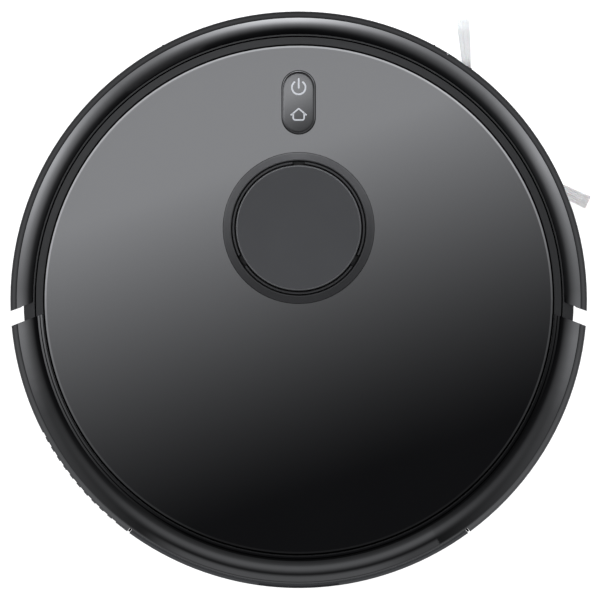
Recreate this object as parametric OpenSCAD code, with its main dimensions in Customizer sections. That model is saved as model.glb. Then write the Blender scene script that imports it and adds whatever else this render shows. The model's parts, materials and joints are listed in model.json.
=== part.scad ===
// Round robot vacuum: laser turret, sprung bumper, roller brush, side brush, two sprung
// drive wheels, a caster, and a dustbin that slides out of the rear.
// The origin is on the floor under the centre of the round body.
// +Y is the direction of travel and +Z is up.

/* [Body] */
// Diameter of the round body
body_d = 350; // [348:1:352]
// Height of the top plate above the floor
plate_top = 80; // [79:0.5:81]
// Gap between the floor and the underside
ground_gap = 9.5; // [9:0.25:9.75]
// Thickness of the moulded shells
wall = 2.5; // [2.2:0.1:2.6]

/* [Bumper] */
// How far the bumper can be pushed in
bumper_travel = 5; // [3:0.5:5]
// Slant of the bumper's and the rear cover's ends in plan, degrees
end_slant = 20.4; // [15:0.1:25]

/* [Laser turret] */
// Distance of the turret in front of the body's centre
lidar_y = 43.4; // [42:0.1:45]
// Diameter of the turret's cap
cap_d = 75.6; // [75:0.1:76]
// Height of the cap's top above the floor
turret_top = 95; // [94:0.5:96]
// How far the cap can be pressed down
cap_travel = 1.5; // [0.5:0.1:1.5]

/* [Button] */
// Distance of the button in front of the body's centre
button_y = 119.4; // [118:0.1:121]
// Length of the rocking button
button_l = 38.3; // [37:0.1:39]
// Width of the rocking button
button_w = 20.1; // [19:0.1:21]

/* [Drive wheels] */
// Diameter of the tyres
wheel_d = 68; // [66:1:68]
// Width of the tyres
wheel_w = 24; // [20:1:24]
// Distance of a tyre's inner face from the centre line
wheel_x = 108; // [108:0.5:109]
// Distance of the wheel axle behind the body's centre
axle_back = 12; // [11:0.5:13]

/* [Brushes] */
// Diameter of the roller brush over its bristles
roller_d = 44; // [40:1:44]
// Length of the roller brush between its end discs
roller_l = 152; // [148:1:154]
// Reach of the side brush from its axis to the bristle tips
side_reach = 77.5; // [74:0.5:78]

/* [Caster] */
// Distance of the caster in front of the body's centre
caster_y = 122; // [120:1:123]
// Diameter of the caster's wheel
caster_d = 31; // [29:1:31]

/* [Dustbin] */
// Width of the dustbin
bin_w = 197; // [190:1:197]
// Height of the dustbin's top above the floor
bin_top = 66; // [64:0.5:66]

/* [Hidden] */
$fn = 192;
eps = 1;          // how far a cutting shape runs past the face that it cuts
fit = 0.05;       // radial clearance of a running fit

// Body levels and radii
body_r = body_d / 2;
plate_r = body_r - 21.3;
chassis_r = body_r - 8.5;
deck_top = plate_top - 4;
deck_under = deck_top - wall;
floor_top = ground_gap + wall;
seam_z = 40;
skirt_bottom = ground_gap + 3;

// Skirt: the outer shape that the bumper and the rear cover share
crease_r = body_r - 4.35;
crease_z = plate_top - 4.2;
skirt_inner = body_r - 2.6;
bumper_lip_r = body_r - 14.3;
bead_r = 16;
bead_crest_r = body_r - 13.8;
cover_rim_r = body_r - 20;
shoulder_r = 24;
shoulder_crest_r = body_r - 16;
bumper_end = [160.5, -1.5];
cover_end = [154.4, -8.5];
bin_half_angle = 36;

// Turret
cap_r = cap_d / 2;
cap_t = 3;
guard_r = cap_r + 2.2;
guard_top = plate_top + 4;
collar_r = guard_r + 5.6;
collar_in = guard_r + 1;
base_z = 52;
base_t = 3;
rotor_r = cap_r - 2.3;
belt_z = 62;
belt_h = 3;
lidar_pulley_r = 5;
lidar_groove_r = 33;
lidar_motor_x = -56;
leg_angles = [90, 210, 330];

// Button
button_gap = 0.4;
button_top = plate_top + 0.2;
button_axis_z = 72;
icon_depth = 0.4;

// Drive wheels
wheel_r = wheel_d / 2;
rim_r = wheel_r - 6;
axle_y = -axle_back;
axle_r = 4;
arm_x0 = 96;
arm_x1 = 106;
pivot_y = 40;
pin_r = 3;
spring_x = (arm_x0 + arm_x1) / 2;
arm_end_r = 20;
wheel_motor_yz = [42, 54];

// Roller brush
roller_y = -4;
roller_z = 24;
roller_r = roller_d / 2;
core_r = 9;
chamber_x = 84;
end_wall = 4;
mouth_r = roller_r + 2.5;
bar_x = 27;
bar_w = 3;
stub_r = 3;
cover_hinge = [-31.2, 9.8];
brush_motor_y = -42;
brush_motor_z = 60;
brush_pulley_r = 9.5;
brush_motor_pulley_r = 4.5;
duct_w = 90;

// Side brush
side_hub = [105.9, 93.2];
side_angles = [94.3, -25.8, 214.3];
side_slope = 4;
side_z = 6.6;
side_arm_l = 48;

// Caster
caster_r = caster_d / 2;
caster_trail = 7;
caster_well_r = 25;
caster_well_top = 36;
stem_r = 4;

// Battery: two layers of two cells that lie across the robot
cell_d = 18.4;
cell_l = 65;
cell_pitch = 18.8;
pack_y = 51;
pack = [72, 41, 39];

// Dustbin and fan
bin_bottom = floor_top + 0.5;
bin_front = -62;
bin_back = -158;
bin_left = -60;
bin_wing_y = -128;
fan_pos = [-96, -92];
fan_r = 30;
exhaust_angle = 219;
speaker_pos = [120, -80];

// Underside
contact_pos = [36, 140];
contact_size = [22, 9];
sensor_angles = [12, 68, 112, 168];
sensor_r = 150;
screw_places = [[146, -45], [60, -152], [18, 154], [135, 70]];
guide_x = 80;
guide_z = 25;
guide_y = 124;

// ---- Shared shapes ----

module side(s) {
    if (s < 0) mirror([1, 0, 0]) children();
    else children();
}

module ring(r_out, r_in, h) {
    difference() {
        cylinder(r = r_out, h = h);
        translate([0, 0, -eps]) cylinder(r = r_in, h = h + 2 * eps);
    }
}

// A cylinder along X from x0 to x1, at height z and depth y
module x_rod(r, x0, x1, y = 0, z = 0) {
    translate([x0, y, z]) rotate([0, 90, 0]) cylinder(r = r, h = x1 - x0);
}

// A shape drawn in the YZ plane and extruded along X from x0 to x1
module x_slab(x0, x1) {
    translate([x0, 0, 0]) rotate([90, 0, 90]) linear_extrude(x1 - x0) children();
}

module box(low, high) {
    translate(low) cube(high - low);
}

// The chassis outline: its front half is set back by the bumper's travel
module body_slab(r, z0, z1) {
    translate([0, 0, z0]) {
        intersection() {
            cylinder(r = r, h = z1 - z0);
            translate([-r, -r, 0]) cube([2 * r, r, z1 - z0]);
        }
        intersection() {
            translate([0, -bumper_travel, 0]) cylinder(r = r, h = z1 - z0);
            translate([-r, 0, 0]) cube([2 * r, r, z1 - z0]);
        }
    }
}

module pill(l, w) {
    square([w, l - w], center = true);
    for (s = [-1, 1]) translate([0, s * (l - w) / 2]) circle(d = w);
}

// A belt round two pulleys, as an outline: centres a and b, radii ra and rb
module belt_outline(a, ra, b, rb, t) {
    difference() {
        hull() {
            translate(a) circle(r = ra + t, $fn = 64);
            translate(b) circle(r = rb + t, $fn = 32);
        }
        hull() {
            translate(a) circle(r = ra, $fn = 64);
            translate(b) circle(r = rb, $fn = 32);
        }
    }
}

// A coil spring along +Z, as one swept tube
module coil_spring(r, wire, length, turns) {
    sides = 6;
    steps = 10 * turns;
    travel = length - 2 * wire;
    points = [for (i = [0 : steps], j = [0 : sides - 1])
        let (a = 360 * turns * i / steps, b = 360 * j / sides, q = r + wire * cos(b))
        [q * cos(a), q * sin(a), wire + travel * i / steps + wire * sin(b)]];
    skin = [for (i = [0 : steps - 1], j = [0 : sides - 1])
        let (k = (j + 1) % sides)
        [i * sides + j, (i + 1) * sides + j, (i + 1) * sides + k, i * sides + k]];
    start_cap = [for (j = [0 : sides - 1]) j];
    end_cap = [for (j = [sides - 1 : -1 : 0]) steps * sides + j];
    polyhedron(points = points, faces = concat(skin, [start_cap, end_cap]));
}

// ---- Skirt shared by the bumper, the rear cover and the dustbin's face ----

// Outer side wall, from the crease down to the rounded bottom edge
module skirt_wall(inner_foot) {
    polygon([
        [crease_r - 3, crease_z], [crease_r, crease_z],
        [crease_r + 0.6, crease_z - 1.2], [crease_r + 1.2, crease_z - 3.8],
        [crease_r + 1.6, 59], [crease_r + 2.8, 57.8], [body_r - 0.4, 53], [body_r, 46],
        [body_r, 28], [body_r - 0.5, 20], [body_r - 1.7, 15], [body_r - 3.5, skirt_bottom],
        [inner_foot, skirt_bottom], [inner_foot, skirt_bottom + wall],
        [body_r - 4.2, skirt_bottom + wall], [skirt_inner, 28], [skirt_inner, 46],
        [crease_r + 0.1, 56], [crease_r - 1.3, 60], [crease_r - 1.6, 70], [crease_r - 3, 73]
    ]);
}

// What is kept of a rounded crest: above under_z, with a foot that joins the side wall
module crest_region(inner_r, under_z) {
    foot_r = crease_r - 3;
    foot_z = crease_z - 1.3;
    polygon([
        [inner_r, under_z], [foot_r, under_z], [foot_r, foot_z], [crease_r, foot_z],
        [crease_r, under_z + 5], [inner_r, under_z + 5]
    ]);
}

// Everything ahead of the slanted ends of the bumper, or behind those of the rear cover
module slant_region(corner, front) {
    far_x = body_r + 25;
    near_x = 120;
    far_y = corner[1] - (far_x - corner[0]) * tan(end_slant);
    near_y = corner[1] + (corner[0] - near_x) * tan(end_slant);
    edge_y = front ? far_x : -far_x;
    translate([0, 0, -eps]) linear_extrude(plate_top + 10)
        polygon([[-far_x, far_y], [-near_x, near_y], [near_x, near_y], [far_x, far_y],
                 [far_x, edge_y], [-far_x, edge_y]]);
}

// A wedge of the round body, half_angle each side of the rear, from z0 to z1
module rear_wedge(half_angle, z0, z1) {
    reach = body_r + 20;
    half_w = reach * tan(half_angle);
    translate([0, 0, z0]) linear_extrude(z1 - z0)
        polygon([[0, 0], [-half_w, -reach], [half_w, -reach]]);
}

module bumper_profile() {
    difference() {
        union() {
            skirt_wall(body_r - 6.5);
            intersection() {
                translate([bead_crest_r, plate_top - 1 - bead_r]) circle(r = bead_r);
                crest_region(bumper_lip_r, deck_top + 0.5);
            }
        }
        polygon([
            [bumper_lip_r - 1, plate_top - 2.6], [bumper_lip_r + 2.6, plate_top + 1],
            [bumper_lip_r - 1, plate_top + 1]
        ]);
    }
}

// The rear cover before it is cut to length: side wall, rounded shoulder and inner rim,
// with a groove between the rim and the shoulder
module rear_ring() {
    rim_top = deck_top + 3.5;
    groove = [cover_rim_r + 2.2, deck_top + 1.8];
    difference() {
        union() {
            rotate_extrude() skirt_wall(body_r - 8);
            rotate_extrude() intersection() {
                translate([shoulder_crest_r, plate_top - 0.55 - shoulder_r]) circle(r = shoulder_r);
                crest_region(groove[0], deck_top);
            }
            rotate_extrude() polygon([
                [cover_rim_r, deck_top], [cover_rim_r, rim_top - 0.5], [cover_rim_r + 0.5, rim_top],
                [cover_rim_r + 1.6, rim_top], [groove[0] + 0.5, groove[1]], [groove[0] + 2, deck_top]
            ]);
        }
        rotate_extrude() translate(groove) square([1.1, 3]);
    }
}

// ---- Shells ----

module chassis() {
    color("#1d1e21") difference() {
        union() {
            difference() {
                body_slab(chassis_r, ground_gap, seam_z);
                body_slab(chassis_r - wall, floor_top, seam_z + eps);
            }
            translate([0, caster_y, ground_gap]) {
                cylinder(r = caster_well_r + 2, h = caster_well_top + 2 - ground_gap);
                cylinder(r = stem_r + 5, h = 48 - ground_gap);
            }
            for (s = [-1, 1]) side(s) wheel_brackets();
            for (s = [-1, 1]) side(s) box([guide_x - 8, guide_y, floor_top - 0.5], [guide_x + 8, 138.3, 33]);
        }
        chassis_openings();
    }
}

// Two lugs that hold the pin of a wheel arm
module wheel_brackets() {
    for (x = [arm_x0 - 5.5, arm_x1 + 1]) difference() {
        box([x, pivot_y - 7, floor_top - 0.5], [x + 3, pivot_y + 7, wheel_r + 5]);
        x_rod(pin_r, x - eps, x + 3 + eps, pivot_y, wheel_r);
    }
}

module chassis_openings() {
    low = ground_gap - eps;
    for (s = [-1, 1]) side(s) {
        box([arm_x1 + 0.5, axle_y - 37, low], [wheel_x + wheel_w + 2.5, axle_y + 43, floor_top + eps]);
        box([arm_x0 - 1.5, axle_y - 24, low], [arm_x1 + 0.5, pivot_y + 12, floor_top + eps]);
        translate([contact_pos[0] - contact_size[0] / 2, contact_pos[1] - contact_size[1] / 2, low])
            cube([contact_size[0], contact_size[1], eps + 1]);
        for (p = screw_places) translate([p[0], p[1], low]) {
            cylinder(r = 3.2, h = eps + 1.6);
            cylinder(r = 1.5, h = wall + 2 * eps);
        }
        translate([guide_x, guide_y - eps, guide_z]) rotate([-90, 0, 0]) {
            cylinder(r = pin_r + fit, h = 20);
            translate([0, 0, eps + 7]) cylinder(r = 5.6, h = 30);
        }
    }
    translate([0, caster_y, low]) {
        cylinder(r = caster_well_r, h = caster_well_top - low);
        cylinder(r = stem_r + fit, h = 60);
    }
    box([-chamber_x - 2.5, roller_y - 28.5, low], [chamber_x + 2.5, roller_y + 28.5, floor_top + eps]);
    translate([side_hub[0], side_hub[1], low]) cylinder(r = 7, h = wall + 2 * eps);
    box([-pack[0] / 2 - 1.5, pack_y - pack[1] / 2 - 1.5, low],
        [pack[0] / 2 + 1.5, pack_y + pack[1] / 2 + 1.5, floor_top + eps]);
    for (a = sensor_angles) sensor_box(a, low, floor_top + eps);
    box([-bin_w / 2 - 1, -body_r, floor_top], [bin_w / 2 + 1, -120, seam_z + eps]);
    exhaust_window(24, seam_z + eps);
}

module sensor_box(angle, z0, z1) {
    rotate(angle) box([sensor_r - 4, -7, z0], [sensor_r + 4, 7, z1]);
}

// The opening through which the fan blows out at the rear left
module exhaust_window(z0, z1) {
    rotate(exhaust_angle) box([chassis_r - 5, -15, z0], [chassis_r + 2, 15, z1]);
}

module top_housing() {
    color("#222327") difference() {
        union() {
            difference() {
                body_slab(chassis_r, seam_z, deck_top);
                body_slab(chassis_r - wall, seam_z - eps, deck_under);
            }
            translate([0, lidar_y, 0]) for (a = [45 : 90 : 315]) rotate(a)
                translate([collar_r + 1, 0, base_z + base_t]) cylinder(r = 3, h = deck_under - base_z - base_t + 0.5);
            for (s = [-1, 1]) side(s) {
                translate([13, button_y, 63.6]) cylinder(r = 2.5, h = deck_under - 63.6 + 0.5);
                box([8.4, button_y - 4, button_axis_z - 3], [10.4, button_y + 4, deck_under + 0.5]);
                translate([spring_x, axle_y, deck_under - 4]) cylinder(r = 3.2, h = 4.5);
            }
            for (p = [[-22, -14], [-22, -52], [82, -14], [82, -52]])
                translate([p[0], p[1], 67.6]) cylinder(r = 3, h = deck_under - 67.6 + 0.5);
        }
        translate([0, lidar_y, deck_under - eps]) cylinder(r = collar_in + 1.5, h = wall + 2 * eps);
        translate([0, button_y, deck_under - eps]) linear_extrude(wall + 2 * eps)
            pill(button_l - 4, button_w - 4);
        x_rod(1.2 + fit, -20, 20, button_y, button_axis_z);
        box([-bin_w / 2 - 1, -body_r, seam_z - eps], [bin_w / 2 + 1, -120, bin_top + 0.7]);
        exhaust_window(seam_z - eps, 54);
        rotate_extrude() {
            translate([plate_r - 1, deck_top - 1.3]) square([2.1, 3]);
            translate([bumper_lip_r - 1.7, deck_top - 1]) square([0.9, 3]);
        }
    }
}

module top_plate() {
    bevel = 1.1;
    color("#33363b") difference() {
        union() {
            translate([0, 0, deck_top]) cylinder(r = plate_r, h = plate_top - deck_top - 0.9);
            translate([0, 0, plate_top - 0.9]) cylinder(r1 = plate_r, r2 = plate_r - bevel, h = 0.9);
        }
        translate([0, lidar_y, deck_top - eps]) cylinder(r = collar_r + 0.15, h = 10);
        translate([0, lidar_y, plate_top - 0.35])
            cylinder(r1 = collar_r, r2 = collar_r + 1.35, h = 1.35);
        translate([0, button_y, deck_top - eps]) linear_extrude(10)
            pill(button_l + 2 * button_gap, button_w + 2 * button_gap);
    }
}

module rear_cover() {
    slot_step = 2.2;
    color("#1a1b1e") difference() {
        rear_ring();
        slant_region(cover_end, true);
        rear_wedge(bin_half_angle + 0.5, 0, bin_top + 0.5);
        for (i = [-5 : 5]) rotate(exhaust_angle + slot_step * i)
            box([body_r - 10, -1.6, 24], [body_r + 2, 1.6, 54]);
    }
}

// ---- Bumper ----

module bumper_body() {
    difference() {
        rotate_extrude() bumper_profile();
        slant_region(bumper_end, false);
        for (s = [-1, 1]) side(s) bumper_corner();
    }
}

// Rounds the inner corner of the bumper's end
module bumper_corner() {
    corner_r = 1;
    at = [bumper_lip_r + corner_r, bumper_end[1] + 0.62];
    translate([at[0], at[1], deck_top - 2]) rotate(-end_slant) linear_extrude(8) difference() {
        translate([-2 * corner_r, -2 * corner_r]) square(2 * corner_r);
        circle(r = corner_r);
    }
}

module window_band(r_in) {
    rotate([0, 0, 52]) rotate_extrude(angle = 76)
        translate([r_in, 30]) square([body_r - r_in, 14]);
}

module bumper() {
    color("#1a1b1e") {
        difference() {
            bumper_body();
            window_band(body_r - 1.2);
        }
        for (s = [-1, 1]) side(s)
            translate([guide_x, guide_y - 3, guide_z]) rotate([-90, 0, 0]) cylinder(r = pin_r, h = 34);
    }
}

module bumper_window() {
    color("#08080a") window_band(body_r - 1.2);
}

module bumper_springs() {
    near = guide_y + 7.1;
    far = sqrt(skirt_inner * skirt_inner - (guide_x + 5.5) * (guide_x + 5.5)) - 0.3;
    color("silver") for (s = [-1, 1]) side(s)
        translate([guide_x, near, guide_z]) rotate([-90, 0, 0]) coil_spring(4.6, 0.6, far - near, 5);
}

// ---- Laser turret ----

module lidar_collar() {
    color("#2c2e32") translate([0, lidar_y, 0]) rotate_extrude() polygon([
        [collar_in, deck_top], [collar_r, deck_top], [collar_r, plate_top + 0.2],
        [collar_r - 0.5, plate_top + 0.6], [collar_in + 0.6, plate_top + 4.2],
        [collar_in, plate_top + 4.2]
    ]);
}

module lidar_base() {
    hub_r = 12;
    bearing_r = 8;
    color("#26282b") translate([0, lidar_y, 0]) difference() {
        union() {
            translate([0, 0, base_z]) cylinder(r = collar_r + 4, h = base_t);
            translate([lidar_motor_x, 0, base_z]) cylinder(r = 14, h = base_t);
            box([lidar_motor_x, -14, base_z], [0, 14, base_z + base_t]);
            translate([0, 0, base_z]) cylinder(r = hub_r, h = 8);
            translate([0, 0, base_z]) ring(guard_r, guard_r - 1, guard_top - base_z);
        }
        translate([0, 0, base_z + 3]) cylinder(r = bearing_r, h = 10);
        translate([0, 0, base_z - eps]) cylinder(r = 5, h = 10);
        translate([lidar_motor_x, 0, base_z - eps]) cylinder(r = 2, h = 10);
        box([-60, -45, base_z + base_t + 4], [-14, 45, belt_z + belt_h + 2]);
        for (a = leg_angles) rotate(a)
            box([guard_r - 6, -3.8, plate_top - 8], [guard_r + 2, 3.8, guard_top + eps]);
    }
}

module lidar_cap() {
    color("#4a4b4e") translate([0, lidar_y, 0]) {
        rotate_extrude() polygon([
            [0, turret_top - cap_t], [cap_r, turret_top - cap_t], [cap_r, turret_top - 0.6],
            [cap_r - 0.6, turret_top], [0, turret_top]
        ]);
        for (a = leg_angles) rotate(a) cap_leg();
    }
}

// A leg of the cap: straight down outside the rotor, then a foot that reaches into the guard ring
module cap_leg() {
    inner = rotor_r + 0.9;
    outer = cap_r - 0.3;
    half_w = 3;
    foot_z = plate_top - 6;
    foot_top = plate_top + 2.5;
    half_angle = asin(half_w / outer);
    rotate(-half_angle) rotate_extrude(angle = 2 * half_angle) polygon([
        [inner, foot_z], [guard_r, foot_z], [guard_r, foot_top], [outer, foot_top],
        [outer, turret_top - cap_t + 1], [inner, turret_top - cap_t + 1]
    ]);
}

module lidar_rotor() {
    top = turret_top - cap_t - cap_travel - 0.4;
    color("#151618") translate([0, lidar_y, 0]) difference() {
        union() {
            translate([0, 0, base_z + 3]) cylinder(r = 4, h = 8);
            translate([0, 0, 60.5]) cylinder(r = rotor_r, h = belt_z - 0.3 - 60.5);
            translate([0, 0, 60.5]) cylinder(r = lidar_groove_r, h = 8);
            translate([0, 0, belt_z + belt_h + 0.3]) cylinder(r = rotor_r, h = top - belt_z - belt_h - 0.3);
        }
        box([-40, 29, plate_top - 4], [40, 60, turret_top]);
        for (x = [-13, 13]) translate([x, 20, 86.6]) rotate([-90, 0, 0]) cylinder(r = 3, h = 20);
    }
}

module lidar_lenses() {
    color("#0c0c14") translate([0, lidar_y, 0]) for (x = [-13, 13])
        translate([x, 20, 86.6]) rotate([-90, 0, 0]) cylinder(r = 3, h = 9.4);
}

module lidar_motor() {
    color("silver") translate([lidar_motor_x, lidar_y, 0]) {
        translate([0, 0, 34]) cylinder(r = 10, h = base_z - 34);
        translate([0, 0, base_z - 2]) cylinder(r = 1, h = 68 - base_z + 2);
    }
}

module lidar_pulley() {
    color("white") translate([lidar_motor_x, lidar_y, 0]) difference() {
        union() {
            translate([0, 0, belt_z - 1.5]) cylinder(r = lidar_pulley_r + 1.4, h = 1.2);
            translate([0, 0, belt_z - 1.5]) cylinder(r = lidar_pulley_r, h = belt_h + 3);
            translate([0, 0, belt_z + belt_h + 0.3]) cylinder(r = lidar_pulley_r + 1.4, h = 1.2);
        }
        translate([0, 0, belt_z - 3]) cylinder(r = 1 + fit, h = belt_h + 6);
    }
}

module lidar_belt() {
    color("#101010") translate([0, lidar_y, belt_z]) linear_extrude(belt_h)
        belt_outline([0, 0], lidar_groove_r + 0.2, [lidar_motor_x, 0], lidar_pulley_r + 0.2, 0.8);
}

// The turret's ball bearing and the roller brush's bush
module bearings() {
    ball_r = 0.9;
    color("silver") {
        translate([0, lidar_y, base_z + 3]) {
            ring(8, 6.7, 5);
            ring(5.3, 4 + fit, 5);
            for (a = [0 : 45 : 315]) rotate(a) translate([6, 0, 2.5]) sphere(r = ball_r / 1.3);
        }
        difference() {
            x_rod(6, chamber_x - end_wall, chamber_x, roller_y, roller_z);
            x_rod(stub_r + fit, chamber_x - end_wall - eps, chamber_x + eps, roller_y, roller_z);
        }
    }
}

// ---- Button ----

module power_outline() {
    translate([0, 9.4]) {
        difference() {
            circle(r = 4.6);
            circle(r = 3.2);
            polygon([[0, 0.5], [-3, 6.5], [3, 6.5]]);
        }
        translate([-0.65, 0]) square([1.3, 5.8]);
    }
}

module home_outline() {
    roof_h = 4.5;
    eave_x = 5;
    stroke = 1.1;
    translate([0, -2.9]) polygon([
        [0, 0], [-eave_x, -roof_h], [-eave_x + 0.7, -roof_h - 0.9], [0, -1.45],
        [eave_x - 0.7, -roof_h - 0.9], [eave_x, -roof_h]
    ]);
    translate([-3.7, -11.2]) difference() {
        union() {
            translate([0, 1.2]) square([7.4, 4]);
            translate([1.2, 0]) square([5, 2]);
            for (x = [1.2, 6.2]) translate([x, 1.2]) circle(r = 1.2);
        }
        translate([stroke, stroke]) square([7.4 - 2 * stroke, 6]);
        translate([3.7, 8.3]) polygon([[0, -1.9], [-5, -6.4], [-9, 0], [9, 0], [5, -6.4]]);
    }
}

module button_cap() {
    color("#2a2c30") translate([0, button_y, 0]) difference() {
        union() {
            translate([0, 0, deck_top + 0.7]) linear_extrude(button_top - deck_top - 0.7)
                pill(button_l, button_w);
            box([-6, -13.5, 71], [6, 13.5, deck_top + 1]);
            x_rod(1.2, -10.4, 10.4, 0, button_axis_z);
        }
        box([-3, -11, 70], [3, -3, 75]);
        box([-3, 3, 70], [3, 11, 75]);
        translate([0, 0, button_top - icon_depth]) linear_extrude(2) {
            power_outline();
            home_outline();
        }
    }
}

module button_icons() {
    color("#d8d9da") translate([0, button_y, button_top - icon_depth]) linear_extrude(icon_depth) {
        power_outline();
        home_outline();
    }
}

module button_board() {
    color("#1c4a2c") translate([0, button_y, 0]) {
        box([-16, -20, 62], [16, 20, 63.6]);
        for (s = [-1, 1]) translate([0, s * 13, 63.6]) {
            box([-3, -3, 0], [3, 3, 5]);
            translate([0, 0, 5]) cylinder(r = 1.6, h = 1.9);
        }
    }
}

// ---- Side brush ----

module side_arm_frame(angle) {
    translate([side_hub[0], side_hub[1], side_z]) rotate([0, 0, angle]) rotate([0, side_slope, 0])
        children();
}

module side_brush_arms() {
    color("#141416") difference() {
        union() {
            translate([side_hub[0], side_hub[1], 4.6]) cylinder(r = 10, h = 4);
            translate([side_hub[0], side_hub[1], 4.6]) cylinder(r = 5, h = 6.9);
            for (a = side_angles) side_arm_frame(a) translate([0, 0, -1.5]) linear_extrude(3)
                polygon([[4, -4.5], [side_arm_l, -3], [side_arm_l, 3], [4, 4.5]]);
        }
        translate([side_hub[0], side_hub[1], 0]) cylinder(r = stub_r, h = 20);
    }
}

module side_brush_bristles() {
    color("#f2f2f2") for (a = side_angles) side_arm_frame(a)
        translate([0, 0, -0.8]) linear_extrude(1.6)
            polygon([[side_arm_l, -2.4], [side_reach, -4], [side_reach, 4], [side_arm_l, 2.4]]);
}

module side_brush_shaft() {
    color("silver") translate([side_hub[0], side_hub[1], 0]) {
        translate([0, 0, 4.2]) cylinder(r = stub_r, h = 22.8);
        difference() {
            translate([0, 0, 3.2]) cylinder(r = 4, h = 1.4);
            translate([-2.5, -0.4, 3]) cube([5, 0.8, 0.9]);
            translate([-0.4, -2.5, 3]) cube([0.8, 5, 0.9]);
        }
    }
}

module side_brush_gearbox() {
    color("#e6e6e2") translate([side_hub[0], side_hub[1], 0]) difference() {
        union() {
            translate([0, 0, floor_top]) cylinder(r = 19, h = 16);
            translate([-8, -6, floor_top]) cylinder(r = 14, h = 18);
        }
        translate([0, 0, floor_top - eps]) cylinder(r = stub_r + fit, h = 17);
    }
}

module side_brush_motor() {
    color("silver") translate([side_hub[0] - 8, side_hub[1] - 6, floor_top + 18])
        cylinder(r = 10, h = 26);
}

// ---- Roller brush ----

// Round over the roller, straight down to the chassis floor
module chamber_outline(r) {
    intersection() {
        translate([roller_y, roller_z]) circle(r = r);
        translate([roller_y - r, roller_z - eps]) square([2 * r, r + 2 * eps]);
    }
    translate([roller_y - r, floor_top]) square([2 * r, roller_z - floor_top]);
}

module brush_chamber() {
    color("#2f3135") difference() {
        union() {
            x_slab(-chamber_x, chamber_x) chamber_outline(mouth_r + 2);
            box([-chamber_x, roller_y - 33, floor_top], [chamber_x + 7, roller_y + 33, floor_top + 2]);
            box([-duct_w / 2 - 2, bin_front + 0.5, 30], [duct_w / 2 + 2, roller_y - 20, 48]);
            x_slab(-chamber_x, -chamber_x + end_wall) hull() {
                translate([roller_y, roller_z]) circle(r = 12, $fn = 32);
                translate([brush_motor_y, brush_motor_z]) circle(r = 12, $fn = 32);
            }
        }
        x_slab(-chamber_x + end_wall, chamber_x - end_wall) {
            translate([roller_y, roller_z]) circle(r = mouth_r);
            translate([roller_y - mouth_r, floor_top - eps]) square([2 * mouth_r, roller_z - floor_top + eps]);
        }
        box([-duct_w / 2, bin_front - eps, 32], [duct_w / 2, roller_y - 15, 46]);
        x_rod(stub_r + 1, -chamber_x - eps, -chamber_x + end_wall + eps, roller_y, roller_z);
        x_rod(6, chamber_x - end_wall - eps, chamber_x + eps, roller_y, roller_z);
        x_rod(2, -chamber_x - eps, -chamber_x + end_wall + eps, brush_motor_y, brush_motor_z);
    }
}

module brush_cover() {
    half_x = chamber_x + 2;
    half_y = 28;
    color("#17181a") {
        difference() {
            box([-half_x, roller_y - half_y, ground_gap], [half_x, roller_y + half_y, floor_top - 0.2]);
            box([-roller_l / 2 - 2, roller_y - 19.5, 0], [roller_l / 2 + 2, roller_y + 19.5, 20]);
        }
        for (x = [-bar_x, bar_x])
            box([x - bar_w / 2, roller_y - 20, ground_gap], [x + bar_w / 2, roller_y + 20, ground_gap + 2]);
        for (x = [-60, 40]) x_rod(0.8, x, x + 20, cover_hinge[0], cover_hinge[1]);
    }
}

module brush_core() {
    half = roller_l / 2;
    color("#3a3c40") {
        x_rod(core_r, -half, half, roller_y, roller_z);
        for (s = [-1, 1]) side(s) x_rod(13, half - 0.5, half + 1.5, roller_y, roller_z);
        x_rod(stub_r, -chamber_x - 8.5, -half, roller_y, roller_z);
        x_rod(stub_r, half, chamber_x - 0.5, roller_y, roller_z);
    }
}

// Bristle and rubber strips, with gaps where the cover's bars pass
module brush_strips() {
    strips = 6;
    gap = 4;
    spans = [[-roller_l / 2, -bar_x - gap, 0], [-bar_x + gap, bar_x - gap, 15], [bar_x + gap, roller_l / 2, 30]];
    color("#5a6068") difference() {
        for (span = spans, i = [0 : strips - 1])
            translate([span[0], roller_y, roller_z])
                rotate([360 / strips * i + span[2], 0, 0])
                    translate([0, -1.5, core_r - 1]) cube([span[1] - span[0] - 0.6, 3, roller_r - core_r + 1]);
        x_rod(core_r, -100, 100, roller_y, roller_z);
        for (s = [-1, 1]) side(s) x_rod(13, roller_l / 2 - 0.5, roller_l / 2 + 5, roller_y, roller_z);
    }
}

module pulley_on_x(r, x0, x1, bore, y, z) {
    difference() {
        union() {
            x_rod(r, x0, x1, y, z);
            x_rod(r + 1, x0, x0 + 0.8, y, z);
            x_rod(r + 1, x1 - 0.8, x1, y, z);
        }
        x_rod(bore, x0 - eps, x1 + eps, y, z);
    }
}

module brush_pulley() {
    color("white") pulley_on_x(brush_pulley_r, -91.6, -85.4, stub_r, roller_y, roller_z);
}

module brush_motor_pulley() {
    color("white") pulley_on_x(brush_motor_pulley_r, -91.6, -85.4, 1.5 + fit, brush_motor_y, brush_motor_z);
}

module brush_belt() {
    color("#101010") x_slab(-90.5, -86.5)
        belt_outline([roller_y, roller_z], brush_pulley_r + 0.2,
                     [brush_motor_y, brush_motor_z], brush_motor_pulley_r + 0.2, 0.7);
}

module brush_motor() {
    color("silver") {
        x_rod(10, -chamber_x + end_wall, -34, brush_motor_y, brush_motor_z);
        x_rod(1.5, -92.3, -chamber_x + end_wall + 1, brush_motor_y, brush_motor_z);
    }
}

module brush_drive_cover() {
    color("#2f3135") difference() {
        x_slab(-94, -chamber_x) hull() {
            translate([roller_y, roller_z]) circle(r = 12, $fn = 32);
            translate([brush_motor_y, brush_motor_z]) circle(r = 9, $fn = 32);
        }
        x_slab(-93, -chamber_x + eps) hull() {
            translate([roller_y, roller_z]) circle(r = 11.2, $fn = 32);
            translate([brush_motor_y, brush_motor_z]) circle(r = 8, $fn = 32);
        }
    }
}

// ---- Drive wheels ----

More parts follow.
